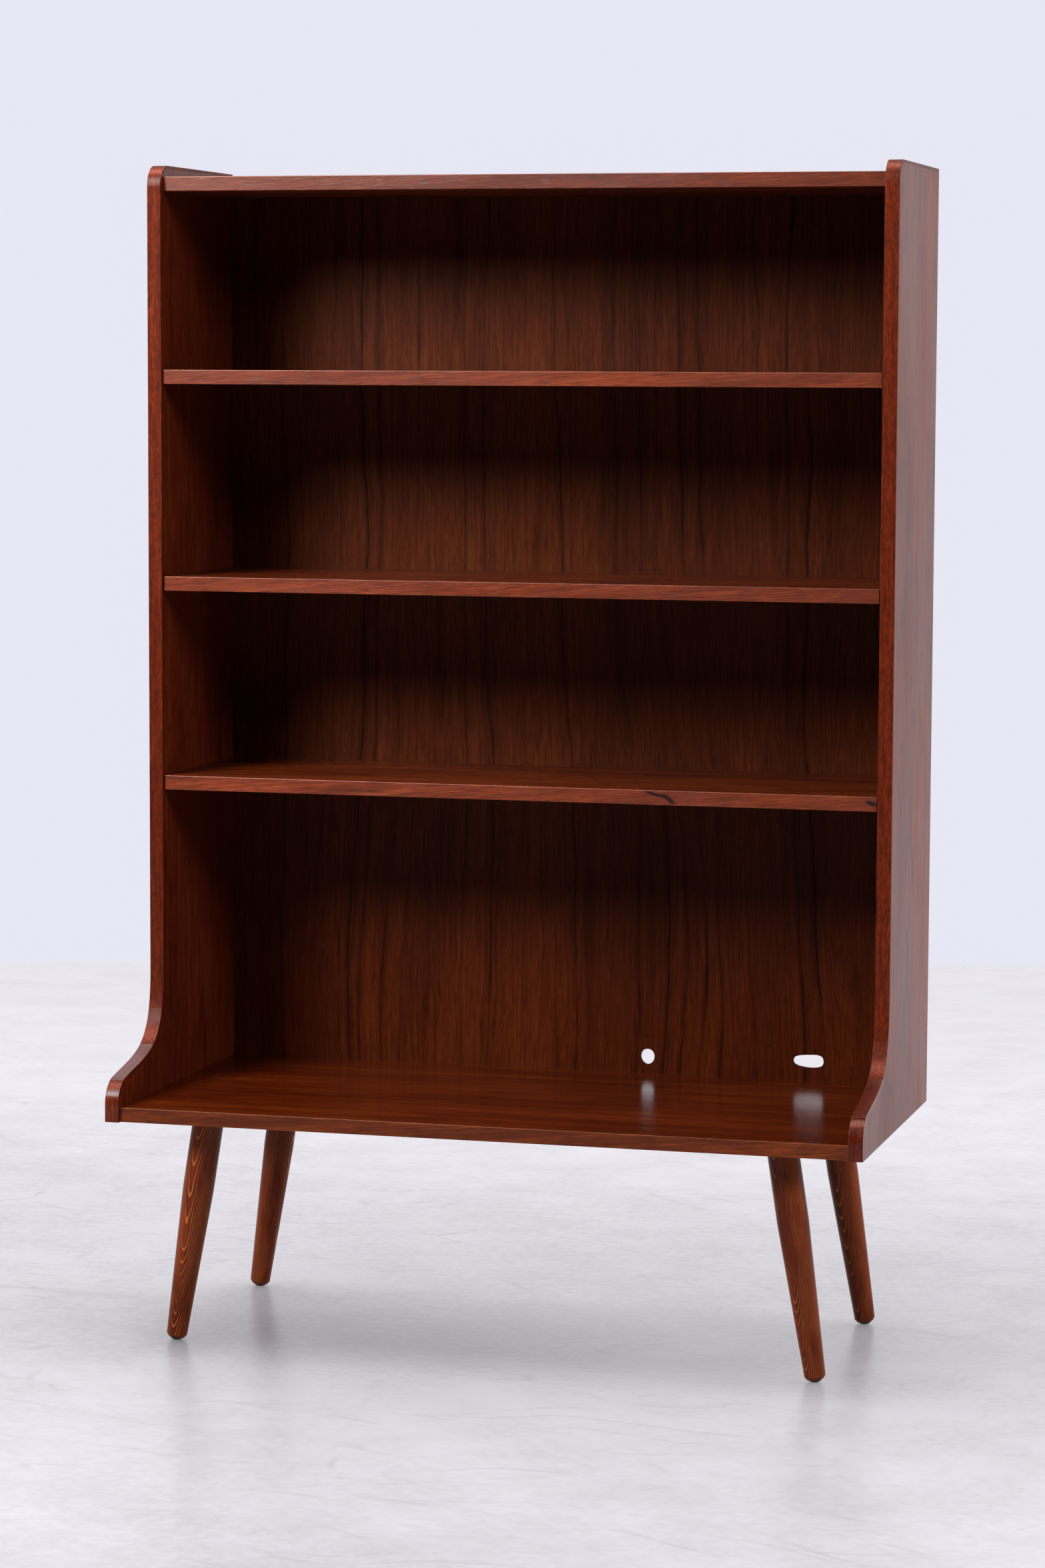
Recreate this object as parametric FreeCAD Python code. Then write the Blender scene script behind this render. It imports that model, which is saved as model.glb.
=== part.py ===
"""Veneered bookcase with three adjustable shelves on four splayed turned legs.

Units are millimetres. +Z is up, the front faces -Y and X = 0 is the mirror plane of the case.
The origin is on the floor, below the middle of the overall box.
"""
import FreeCAD, Part
import math
import os

V = FreeCAD.Vector

# ---- case: driving dimensions ---------------------------------------------------------------
WIDTH = 900.0                # over the two side panels
BASE_DEPTH = 417.0           # side panels at the bottom
FRONT_RECESS = 156.0         # upper front edge, behind the front of the base
OVERALL_HEIGHT = 1386.0      # floor to the top of the side panels
LEG_HEIGHT = 269.0           # floor to the underside of the case
BOARD = 17.0                 # veneered board of the sides, shelves, top and bottom
LIPPING = 4.0                # solid strip glued on a front edge
BACK_THICKNESS = 4.0
REBATE_WIDTH = 9.0           # rebate for the back panel, in from each side's inner face
BACK_PLAY = 0.4              # air round the edge of the back panel
TOP_DROP = 13.5              # top panel below the top of the side panels
TOP_SETBACK = 9.0            # top panel behind the upper front of the side panels
BOTTOM_SETBACK = 5.0         # bottom panel behind the front of the base
ARRIS = 0.8                  # rounding of exposed edges
TOP_CORNER_RADIUS = 25.0     # front top corner of a side panel

# Front profile of a side panel, from the upper straight down to the front of the base.
# The angle is measured from straight down, turning towards the front.
S_BEND_START = 426.5         # height at which the profile leaves the upper straight
S_BEND_ARCS = [(160.0, 0.0, 16.0), (66.0, 16.0, 68.0), (190.0, 68.0, 78.7)]
S_NOSE_RADIUS = 31.0         # convex arc that turns back to straight down
LIPPING_SEAMS = (60.0, 64.0)  # angle of the profile at the two butt joints of a side's lipping

# ---- shelves --------------------------------------------------------------------------------
HOLE_PITCH = 51.0            # height between the holes of one group
HOLE_GROUPS = {"upper": 1137.0, "middle": 892.0, "lower": 603.0}     # height of the middle hole
SHELF_HOLE = {"upper": 0, "middle": 0, "lower": 1}                   # hole in use, up from the middle
WIRE_FRONT = 238.0           # front column of holes, behind the front of the base
WIRE_SPAN = 154.0            # front column to rear column
WIRE_DIAMETER = 3.0
WIRE_HOLE_DIAMETER = 3.2
WIRE_HOLE_DEPTH = 10.0
WIRE_INSERTION = 9.0         # length of wire end inside the side panel
WIRE_OFFSET = 6.5            # wire's long run, in from the side panel's inner face
WIRE_BEND_RADIUS = 4.0
KERF_HEIGHT = 3.6
KERF_REACH = 10.0            # bottom of the kerf, in from the side panel's inner face
KERF_LEAD = 8.0              # kerf ahead of the front column of holes
SHELF_END_GAP = 1.6
SHELF_SETBACK = 4.0          # shelf behind the upper front of the side panels
SHELF_BACK_GAP = 1.0

# ---- cable holes in the back panel: centre x, centre z, half width, half height, squareness,
# and how much the height grows towards +X
CABLE_HOLES = [(104.0, 308.0, 8.6, 9.5, 2.0, 0.0), (305.0, 311.5, 18.6, 7.8, 2.8, 0.14)]
HAND_WAVER = 0.03            # unevenness of the hand-cut edge, as a share of the half height
HAND_POINTS = 16             # points round the hand-cut edge

# ---- legs -----------------------------------------------------------------------------------
LEG_TOP_INSET = 105.3        # leg axis at the underside, in from the outside of the side panel
FOOT_INSET = 63.5            # leg axis at the floor, in from the outside of the side panel
LEG_TOP_Y = {"front": 67.5, "rear": 365.0}     # behind the front of the base
FOOT_Y = {"front": 66.5, "rear": 375.0}
LEG_DIAMETER = 36.6
FOOT_DIAMETER = 24.4
LEG_STRAIGHT = 0.31          # share of the leg, from the top, that isn't tapered
FOOT_CHAMFER = (2.6, 3.6)    # in from the side, up from the end
PLATE_SIZE = 62.0
PLATE_THICKNESS = 2.0
PLATE_CORNER = 7.0
PLATE_SCREW_INSET = 8.0
PLATE_SCREW_DIAMETER = 3.5
PLATE_SCREW_LENGTH = 13.0
PLATE_SCREW_HEAD = (7.0, 1.6)      # diameter, height
PLATE_SCREW_CHAMFER = 0.6
BOSS_DIAMETER = 34.6         # angled seat under the plate
SEAT_GAP = 0.5               # highest point of the leg's shoulder, below the plate
BOLT_DIAMETER = 8.0
BOLT_ABOVE = 8.0             # hanger bolt above the plate
BOLT_BELOW = 42.0            # hanger bolt below the leg's top
BOLT_RELIEF = (14.0, 11.0)   # blind hole over the bolt, in the bottom panel: diameter, depth
GLIDE_DIAMETER = 17.0
GLIDE_HEIGHT = 4.2
GLIDE_FLAT_DIAMETER = 8.0    # flat that stands on the floor
GLIDE_NAIL = (2.2, 14.0)     # diameter, length above the dome
GLIDE_NAIL_ROOT = 0.5        # part of the nail inside the dome

# ---- hidden fixings -------------------------------------------------------------------------
DOWEL_DIAMETER = 8.0
DOWEL_IN_SIDE = 11.0
DOWEL_IN_PANEL = 22.0
DOWEL_HOLE_PLAY = 0.5        # hole deeper than the dowel
DOWEL_CHAMFER = 1.0
DOWEL_MARGIN = 34.0          # first and last dowel, in from the front and rear of the panel
TOP_DOWELS = 4
BOTTOM_DOWELS = 5
NAIL_DIAMETER = 1.6
NAIL_LENGTH = 15.0
NAIL_HEAD = (3.4, 0.8)       # diameter, height
NAIL_PITCH = 118.0
NAIL_MARGIN = 30.0           # first and last nail of a side, in from the ends of the back panel

# ---- places worked out from the driving dimensions -------------------------------------------
Y0 = -BASE_DEPTH / 2.0                     # front of the base
Y_REAR = Y0 + BASE_DEPTH
Y_UPPER = Y0 + FRONT_RECESS                # upper front of the side panels
Y_BACK = Y_REAR - BACK_THICKNESS           # inner face of the back panel
X_OUT = WIDTH / 2.0
X_IN = X_OUT - BOARD                       # inner face of the right side panel
Z_BASE = LEG_HEIGHT
Z_FLOOR = Z_BASE + BOARD                   # upper face of the bottom panel
Z_TOP = OVERALL_HEIGHT - TOP_DROP          # upper face of the top panel
Y_WIRE_FRONT = Y0 + WIRE_FRONT
Y_WIRE_REAR = Y_WIRE_FRONT + WIRE_SPAN
Y_SHELF = Y_UPPER + SHELF_SETBACK
Y_SHELF_REAR = Y_BACK - SHELF_BACK_GAP
X_SHELF = X_IN - SHELF_END_GAP
SIDES = {"left": -1, "right": 1}
TOUCH = 0.01                 # distance at which two places count as the same
CUT_OVER = 1.0               # a cutting tool's reach past the face that it starts from

PARTS = {}


def box(x1, x2, y1, y2, z1, z2):
    """Box between two corners, given in any order."""
    low = V(min(x1, x2), min(y1, y2), min(z1, z2))
    return Part.makeBox(abs(x2 - x1), abs(y2 - y1), abs(z2 - z1), low)


def rod(start, direction, diameter, length):
    return Part.makeCylinder(diameter / 2.0, length, start, direction)


def cut_all(shape, tools):
    return shape.cut(Part.makeCompound(tools)) if tools else shape


def mirrored(shape):
    """The same piece for the other side of the case."""
    return shape.mirror(V(0, 0, 0), V(1, 0, 0))


def for_side(shape, side):
    """A piece drawn for the right side, placed on the named side."""
    return shape if side == "right" else mirrored(shape)


def spare_and_used_heights():
    """Height of every hole in one column."""
    heights = []
    for centre in HOLE_GROUPS.values():
        heights += [centre + step * HOLE_PITCH for step in (-1, 0, 1)]
    return heights


def shelf_height(level):
    """Height of the middle of a shelf, which is the height of its wires."""
    return HOLE_GROUPS[level] + SHELF_HOLE[level] * HOLE_PITCH


def rounded(shape, edges, radius=ARRIS):
    return shape.makeFillet(radius, edges) if edges else shape


def lies_on(edge, outline):
    """True for an edge whose start, middle and end are all on the outline."""
    first, last = edge.ParameterRange
    for parameter in (first, (first + last) / 2.0, last):
        if Part.Vertex(edge.valueAt(parameter)).distToShape(outline)[0] > TOUCH:
            return False
    return True


# ---- side panels ------------------------------------------------------------------------------
def heading(angle):
    """Unit step along the profile, in Y and Z, for an angle measured from straight down."""
    turn = math.radians(angle)
    return -math.sin(turn), -math.cos(turn)


def arc_points(start, radius, angle_from, angle_to, towards_front):
    """Middle and end of an arc that leaves start at angle_from and ends at angle_to."""
    side = -1.0 if towards_front else 1.0
    centre_y = start[0] + side * radius * math.cos(math.radians(angle_from))
    centre_z = start[1] - side * radius * math.sin(math.radians(angle_from))
    points = []
    for angle in ((angle_from + angle_to) / 2.0, angle_to):
        y = centre_y - side * radius * math.cos(math.radians(angle))
        z = centre_z + side * radius * math.sin(math.radians(angle))
        points.append((y, z))
    return points


def nose_start(here, inset):
    """Where the straight slope that leaves the bend meets the convex arc of the nose."""
    slope = S_BEND_ARCS[-1][2]
    radius = S_NOSE_RADIUS - inset
    y = Y0 + inset + radius * (1.0 - math.cos(math.radians(slope)))
    step_y, step_z = heading(slope)
    return y, here[1] + (y - here[0]) / step_y * step_z


def front_profile(inset):
    """Edges of a side panel's outline, in from the real edge by inset at the top and front."""
    edges = []

    def point(y, z):
        return V(0, y, z)

    def line_to(here, there):
        edges.append(Part.LineSegment(point(*here), point(*there)).toShape())
        return there

    def arc_to(here, radius, angle_from, angle_to, towards_front):
        middle, end = arc_points(here, radius, angle_from, angle_to, towards_front)
        edges.append(Part.Arc(point(*here), point(*middle), point(*end)).toShape())
        return end

    top = OVERALL_HEIGHT - inset
    front = Y_UPPER + inset
    corner = TOP_CORNER_RADIUS - inset
    here = line_to((Y_REAR, top), (front + corner, top))
    diagonal = corner * math.sqrt(0.5)
    middle = (front + corner - diagonal, top - corner + diagonal)
    end = (front, top - corner)
    edges.append(Part.Arc(point(*here), point(*middle), point(*end)).toShape())
    here = line_to(end, (front, S_BEND_START))
    for radius, angle_from, angle_to in S_BEND_ARCS:
        here = arc_to(here, radius + inset, angle_from, angle_to, True)
    slope = S_BEND_ARCS[-1][2]
    here = line_to(here, nose_start(here, inset))
    here = arc_to(here, S_NOSE_RADIUS - inset, slope, 0.0, False)
    here = line_to(here, (Y0 + inset, Z_BASE))
    here = line_to(here, (Y_REAR, Z_BASE))
    line_to(here, (Y_REAR, top))
    return edges


def seam_points():
    """Point and direction of the profile at the two butt joints of a side's lipping."""
    above, below = LIPPING_SEAMS
    here = (Y_UPPER, S_BEND_START)
    for radius, angle_from, angle_to in S_BEND_ARCS:
        if angle_from < above < angle_to:
            first = arc_points(here, radius, angle_from, above, True)[1]
        here = arc_points(here, radius, angle_from, angle_to, True)[1]
    slope = S_BEND_ARCS[-1][2]
    second = arc_points(nose_start(here, 0.0), S_NOSE_RADIUS, slope, below, False)[1]
    return (first, heading(above)), (second, heading(below))


def profile_slab(inset, x1, x2):
    """The side panel's outline as a slab between two planes of X."""
    wire = Part.Wire(front_profile(inset))
    slab = Part.Face(wire).extrude(V(x2 - x1, 0, 0))
    slab.translate(V(x1, 0, 0))
    return slab


def past_seam(point, direction):
    """Everything in front of and below a butt joint that is square to the profile."""
    reach = 2.0 * BASE_DEPTH
    block = Part.makeBox(WIDTH, reach, reach, V(0, -reach / 2.0, -reach))
    turn = math.degrees(math.atan2(-direction[0], -direction[1]))
    block.rotate(V(0, 0, 0), V(1, 0, 0), -turn)
    block.translate(V(0, point[0], point[1]))
    return block


def dowel_rows():
    """Height, and the places along Y, of the dowels of the top and the bottom panel."""
    top_front, top_rear = Y_UPPER + TOP_SETBACK, Y_BACK
    bottom_front, bottom_rear = Y0 + BOTTOM_SETBACK, Y_BACK
    rows = []
    for name, height, front, rear, count in (
        ("top_panel_dowels", Z_TOP - BOARD / 2.0, top_front, top_rear, TOP_DOWELS),
        ("bottom_panel_dowels", Z_BASE + BOARD / 2.0, bottom_front, bottom_rear, BOTTOM_DOWELS),
    ):
        pitch = (rear - front - 2.0 * DOWEL_MARGIN) / (count - 1)
        places = [front + DOWEL_MARGIN + index * pitch for index in range(count)]
        rows.append((name, height, places))
    return rows


def dowel_holes():
    """Drilled holes for every dowel on the right side, in the side and in the panel together."""
    holes = []
    length = DOWEL_IN_SIDE + DOWEL_IN_PANEL + 2.0 * DOWEL_HOLE_PLAY
    for _, height, places in dowel_rows():
        for y in places:
            start = V(X_IN - DOWEL_IN_PANEL - DOWEL_HOLE_PLAY, y, height)
            holes.append(rod(start, V(1, 0, 0), DOWEL_DIAMETER, length))
    return holes


def make_dowels():
    for name, height, places in dowel_rows():
        dowels = []
        for y in places:
            start = V(X_IN - DOWEL_IN_PANEL, y, height)
            dowel = rod(start, V(1, 0, 0), DOWEL_DIAMETER, DOWEL_IN_SIDE + DOWEL_IN_PANEL)
            ends = [edge for edge in dowel.Edges if edge.Length < 4.0 * DOWEL_DIAMETER]
            ends = [edge for edge in ends if isinstance(edge.Curve, Part.Circle)]
            dowel = dowel.makeChamfer(DOWEL_CHAMFER, ends)
            dowels += [dowel, mirrored(dowel)]
        PARTS[name] = Part.makeCompound(dowels)


def nail_places():
    """Start of each nail's head, all round the back panel."""
    inset = REBATE_WIDTH / 2.0
    x_edge = X_IN + inset
    places = []
    count = round((Z_TOP - Z_BASE) / NAIL_PITCH)
    pitch = (Z_TOP - Z_BASE - 2.0 * NAIL_MARGIN) / (count - 1)
    for index in range(count):
        for x in (-x_edge, x_edge):
            places.append((x, Z_BASE + NAIL_MARGIN + index * pitch))
    count = round(2.0 * X_IN / NAIL_PITCH)
    pitch = 2.0 * X_IN / count
    for index in range(1, count):
        for z in (Z_BASE + BOARD / 2.0, Z_TOP - BOARD / 2.0):
            places.append((-X_IN + index * pitch, z))
    return places


def nail(x, z):
    """One nail driven from the rear, with its head sunk flush."""
    head = rod(V(x, Y_REAR - NAIL_HEAD[1], z), V(0, 1, 0), NAIL_HEAD[0], NAIL_HEAD[1])
    shank = rod(V(x, Y_REAR, z), V(0, -1, 0), NAIL_DIAMETER, NAIL_LENGTH)
    return head.fuse(shank).removeSplitter()


def make_nails():
    nails = [nail(x, z) for x, z in nail_places()]
    PARTS["back_panel_nails"] = Part.makeCompound(nails)
    return nails


def make_sides(nails):
    core = profile_slab(LIPPING, X_IN, X_OUT)
    strip = profile_slab(0.0, X_IN, X_OUT).cut(profile_slab(LIPPING, X_IN, X_OUT))

    rebate = box(X_IN, X_IN + REBATE_WIDTH, Y_BACK, Y_REAR, Z_BASE, Z_TOP + BACK_PLAY)
    holes = [rebate] + dowel_holes()
    for height in spare_and_used_heights():
        for y in (Y_WIRE_FRONT, Y_WIRE_REAR):
            holes.append(rod(V(X_IN, y, height), V(1, 0, 0), WIRE_HOLE_DIAMETER, WIRE_HOLE_DEPTH))
    core = cut_all(core, holes)

    outline = front_profile(0.0)[:-2]
    exposed = [edge.translated(V(x, 0, 0)) for edge in outline for x in (X_IN, X_OUT)]
    exposed = Part.makeCompound(exposed)
    strip = rounded(strip, [edge for edge in strip.Edges if lies_on(edge, exposed)])
    bend_on, nose_on = [past_seam(*seam) for seam in seam_points()]
    strips = {
        "upper": strip.cut(bend_on),
        "bend": strip.common(bend_on).cut(nose_on),
        "nose": strip.common(nose_on),
    }
    for side in SIDES:
        panel = for_side(core, side)
        PARTS["side_panel_" + side] = cut_all(panel, nails)
        for stretch, piece in strips.items():
            PARTS["side_lipping_" + stretch + "_" + side] = for_side(piece, side)


# ---- top, bottom, back --------------------------------------------------------------------------
def lipped_board(name, x_end, y_front, y_rear, z_low, tools):
    """A horizontal board with a glued front lipping, as two pieces."""
    z_high = z_low + BOARD
    board = box(-x_end, x_end, y_front + LIPPING, y_rear, z_low, z_high)
    PARTS[name] = cut_all(board, tools)
    strip = box(-x_end, x_end, y_front, y_front + LIPPING, z_low, z_high)
    exposed = [
        edge for edge in strip.Edges
        if edge.BoundBox.YMax < y_front + TOUCH and edge.Length > x_end
    ]
    PARTS[name + "_lipping"] = rounded(strip, exposed)


def leg_fixing_cuts():
    """Holes that the leg fixings need in the bottom panel."""
    cuts = []
    for side in SIDES:
        for row in LEG_TOP_Y:
            anchor, axis = leg_line(side, row)
            seat = V(anchor.x, anchor.y, Z_BASE)
            cuts.append(rod(seat, V(0, 0, 1), BOLT_RELIEF[0], BOLT_RELIEF[1]))
            cuts += plate_screws(side, row)
    return cuts


def make_top_and_bottom(nails):
    dowels = dowel_holes()
    dowels += [mirrored(hole) for hole in dowels]
    lipped_board("top_panel", X_IN, Y_UPPER + TOP_SETBACK, Y_BACK, Z_TOP - BOARD, dowels + nails)
    tools = dowels + nails + leg_fixing_cuts()
    lipped_board("bottom_panel", X_IN, Y0 + BOTTOM_SETBACK, Y_BACK, Z_BASE, tools)


def hand_cut_outline(x, z, half_width, half_height, squareness, growth):
    """Smooth closed wire of a hole cut by hand: a rounded oblong, taller towards +X."""
    power = 2.0 / squareness
    points = []
    for index in range(HAND_POINTS):
        angle = 2.0 * math.pi * (index + 0.5) / HAND_POINTS
        across, up = math.cos(angle), math.sin(angle)
        dx = half_width * math.copysign(abs(across) ** power, across)
        dz = half_height * math.copysign(abs(up) ** power, up)
        dz *= 1.0 + growth * dx / half_width + HAND_WAVER * math.sin(3.0 * angle)
        points.append(V(x + dx, Y_BACK - CUT_OVER, z + dz))
    curve = Part.BSplineCurve()
    curve.interpolate(Points=points, PeriodicFlag=True)
    return Part.Wire(curve.toShape())


def make_back(nails):
    x_edge = X_IN + REBATE_WIDTH - BACK_PLAY
    panel = box(-x_edge, x_edge, Y_BACK, Y_REAR, Z_BASE, Z_TOP)
    cuts = list(nails)
    for hole in CABLE_HOLES:
        face = Part.Face(hand_cut_outline(*hole))
        cuts.append(face.extrude(V(0, BACK_THICKNESS + 2.0 * CUT_OVER, 0)))
    PARTS["back_panel"] = cut_all(panel, cuts)


# ---- shelves and their wires ---------------------------------------------------------------------
def shelf_wire(height):
    """Bent support wire on the right side: two ends in the side panel, joined by a long run."""
    x_end = X_IN + WIRE_INSERTION
    x_run = X_IN - WIRE_OFFSET
    bend = WIRE_BEND_RADIUS
    diagonal = bend * (1.0 - math.sqrt(0.5))

    def corner(y, inwards):
        first = V(x_run + bend, y, height)
        middle = V(x_run + diagonal, y + inwards * diagonal, height)
        last = V(x_run, y + inwards * bend, height)
        return first, middle, last

    front = corner(Y_WIRE_FRONT, 1.0)
    rear = corner(Y_WIRE_REAR, -1.0)
    path = Part.Wire([
        Part.LineSegment(V(x_end, Y_WIRE_FRONT, height), front[0]).toShape(),
        Part.Arc(*front).toShape(),
        Part.LineSegment(front[2], rear[2]).toShape(),
        Part.Arc(rear[2], rear[1], rear[0]).toShape(),
        Part.LineSegment(rear[0], V(x_end, Y_WIRE_REAR, height)).toShape(),
    ])
    circle = Part.Circle(V(x_end, Y_WIRE_FRONT, height), V(1, 0, 0), WIRE_DIAMETER / 2.0)
    return path.makePipeShell([Part.Wire(circle.toShape())], True, True)


def make_shelves():
    for level in HOLE_GROUPS:
        height = shelf_height(level)
        kerf = box(
            X_IN - KERF_REACH, X_IN, Y_WIRE_FRONT - KERF_LEAD, Y_SHELF_REAR,
            height - KERF_HEIGHT / 2.0, height + KERF_HEIGHT / 2.0,
        )
        name = "shelf_" + level
        lipped_board(
            name, X_SHELF, Y_SHELF, Y_SHELF_REAR, height - BOARD / 2.0, [kerf, mirrored(kerf)]
        )
        for side in SIDES:
            wire = for_side(shelf_wire(height), side)
            PARTS["shelf_wire_" + level + "_" + side] = wire


# ---- legs ----------------------------------------------------------------------------------------
def leg_line(side, row):
    """Point where a leg's axis meets the underside of the case, and its direction, upwards."""
    sign = SIDES[side]
    top = V(sign * (X_OUT - LEG_TOP_INSET), Y0 + LEG_TOP_Y[row], Z_BASE)
    foot = V(sign * (X_OUT - FOOT_INSET), Y0 + FOOT_Y[row], 0.0)
    axis = top - foot
    axis.normalize()
    return top, axis


def leg_seat(side, row):
    """Centre of the leg's upper end: its rim just touches the plate."""
    top, axis = leg_line(side, row)
    lean = math.acos(axis.z)
    drop = PLATE_THICKNESS + LEG_DIAMETER / 2.0 * math.sin(lean) + SEAT_GAP
    return top - axis * (drop / axis.z)


def dome_radius():
    half = GLIDE_DIAMETER / 2.0
    return (half * half + GLIDE_HEIGHT * GLIDE_HEIGHT) / (2.0 * GLIDE_HEIGHT)


def dome_centre(side, row):
    """Centre of the glide's sphere, low enough for the floor to leave the level flat."""
    top, axis = leg_line(side, row)
    height = math.sqrt(dome_radius() ** 2 - (GLIDE_FLAT_DIAMETER / 2.0) ** 2)
    return top - axis * ((top.z - height) / axis.z)


def foot_end(side, row):
    """Centre of the leg's lower end, on top of its glide."""
    top, axis = leg_line(side, row)
    return dome_centre(side, row) - axis * (dome_radius() - GLIDE_HEIGHT)


def plate_screw_starts(side, row):
    """Underside of the plate at each of its four screws."""
    top = leg_line(side, row)[0]
    reach = PLATE_SIZE / 2.0 - PLATE_SCREW_INSET
    z = Z_BASE - PLATE_THICKNESS
    return [V(top.x + dx * reach, top.y + dy * reach, z) for dx in (-1, 1) for dy in (-1, 1)]


def plate_screws(side, row):
    """Flat-headed wood screws that hold one plate, heads below it."""
    screws = []
    for start in plate_screw_starts(side, row):
        head = rod(start, V(0, 0, -1), PLATE_SCREW_HEAD[0], PLATE_SCREW_HEAD[1])
        rim = [edge for edge in head.Edges if edge.BoundBox.ZMax < start.z - 0.1]
        head = head.makeChamfer(PLATE_SCREW_CHAMFER, rim)
        shank = rod(start, V(0, 0, 1), PLATE_SCREW_DIAMETER, PLATE_SCREW_LENGTH)
        screws.append(head.fuse(shank).removeSplitter())
    return screws


def leg_solid(side, row):
    """Turned leg: straight shoulder, long taper, chamfered foot, square to its own axis."""
    seat = leg_seat(side, row)
    end = foot_end(side, row)
    axis = seat - end
    length = axis.Length
    radius = LEG_DIAMETER / 2.0
    foot = FOOT_DIAMETER / 2.0
    chamfer_in, chamfer_up = FOOT_CHAMFER
    outline = [
        V(0, 0, 0),
        V(foot - chamfer_in, 0, 0),
        V(foot, 0, chamfer_up),
        V(radius, 0, length * (1.0 - LEG_STRAIGHT)),
        V(radius, 0, length),
        V(0, 0, length),
        V(0, 0, 0),
    ]
    face = Part.Face(Part.makePolygon(outline))
    leg = face.revolve(V(0, 0, 0), V(0, 0, 1), 360)
    leg.Placement = FreeCAD.Placement(end, FreeCAD.Rotation(V(0, 0, 1), axis))
    return leg


def make_leg_set(side, row):
    top, axis = leg_line(side, row)
    seat = leg_seat(side, row)
    end = foot_end(side, row)
    place = row + "_" + side

    bolt_start = seat - axis * BOLT_BELOW
    bolt_length = BOLT_BELOW + (seat - top).Length + BOLT_ABOVE
    bolt = rod(bolt_start, axis, BOLT_DIAMETER, bolt_length)

    low = V(top.x - PLATE_SIZE / 2.0, top.y - PLATE_SIZE / 2.0, Z_BASE - PLATE_THICKNESS)
    plate = Part.makeBox(PLATE_SIZE, PLATE_SIZE, PLATE_THICKNESS, low)
    corners = [edge for edge in plate.Edges if edge.BoundBox.ZLength > PLATE_THICKNESS / 2.0]
    plate = plate.makeFillet(PLATE_CORNER, corners)
    boss = rod(seat, axis, BOSS_DIAMETER, LEG_DIAMETER)
    boss = boss.common(box(-X_OUT, X_OUT, Y0, Y_REAR, 0.0, Z_BASE - PLATE_THICKNESS / 2.0))
    screws = plate_screws(side, row)
    plate = plate.fuse(boss).removeSplitter()
    PARTS["leg_plate_" + place] = cut_all(plate, [bolt] + screws)

    nail_diameter, nail_length = GLIDE_NAIL
    glide_nail = rod(end - axis * GLIDE_NAIL_ROOT, axis, nail_diameter, nail_length + GLIDE_NAIL_ROOT)
    PARTS["leg_" + place] = cut_all(leg_solid(side, row), [bolt, glide_nail])
    PARTS["leg_bolt_" + place] = bolt
    PARTS["glide_" + place] = glide(side, row, glide_nail)
    return screws


def glide(side, row, glide_nail):
    """Domed glide, square to the leg, with a level flat where it meets the floor."""
    axis = leg_line(side, row)[1]
    radius = dome_radius()
    dome = Part.makeSphere(radius, dome_centre(side, row))
    below_foot = rod(foot_end(side, row), axis * -1.0, 4.0 * radius, 3.0 * radius)
    body = dome.common(below_foot).fuse(glide_nail).removeSplitter()
    under_floor = box(-X_OUT, X_OUT, Y0, Y_REAR, -BOARD, 0.0)
    return body.cut(under_floor)


def make_legs():
    screws = []
    for side in SIDES:
        for row in LEG_TOP_Y:
            screws += make_leg_set(side, row)
    PARTS["leg_plate_screws"] = Part.makeCompound(screws)


def main():
    nails = make_nails()
    make_sides(nails)
    make_top_and_bottom(nails)
    make_back(nails)
    make_dowels()
    make_shelves()
    make_legs()
    os.makedirs("parts", exist_ok=True)
    for name, shape in PARTS.items():
        bad = [solid for solid in shape.Solids if not solid.isValid() or solid.Volume <= 0.0]
        print(name, "solids", len(shape.Solids), "volume", round(shape.Volume), "bad", len(bad))
        shape.exportStep("parts/" + name + ".step")


main()
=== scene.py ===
"""The bookcase's looks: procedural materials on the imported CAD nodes, a studio and the camera.

Lengths are in metres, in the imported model's frame. Frequencies of noises and lines are per metre.
"""
import math

import bpy
from mathutils import Matrix, Vector


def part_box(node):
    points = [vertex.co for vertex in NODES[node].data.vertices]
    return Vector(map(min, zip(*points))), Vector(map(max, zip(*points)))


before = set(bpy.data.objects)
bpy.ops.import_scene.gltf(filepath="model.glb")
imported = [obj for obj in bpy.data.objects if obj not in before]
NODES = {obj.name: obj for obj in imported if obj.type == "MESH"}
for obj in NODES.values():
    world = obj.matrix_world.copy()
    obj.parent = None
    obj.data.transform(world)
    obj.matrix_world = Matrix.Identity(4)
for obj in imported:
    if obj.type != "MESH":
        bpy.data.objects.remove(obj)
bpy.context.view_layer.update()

AXIS_X = (1.0, 0.0, 0.0)
AXIS_Z = (0.0, 0.0, 1.0)
WHITE = (1.0, 1.0, 1.0)


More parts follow.
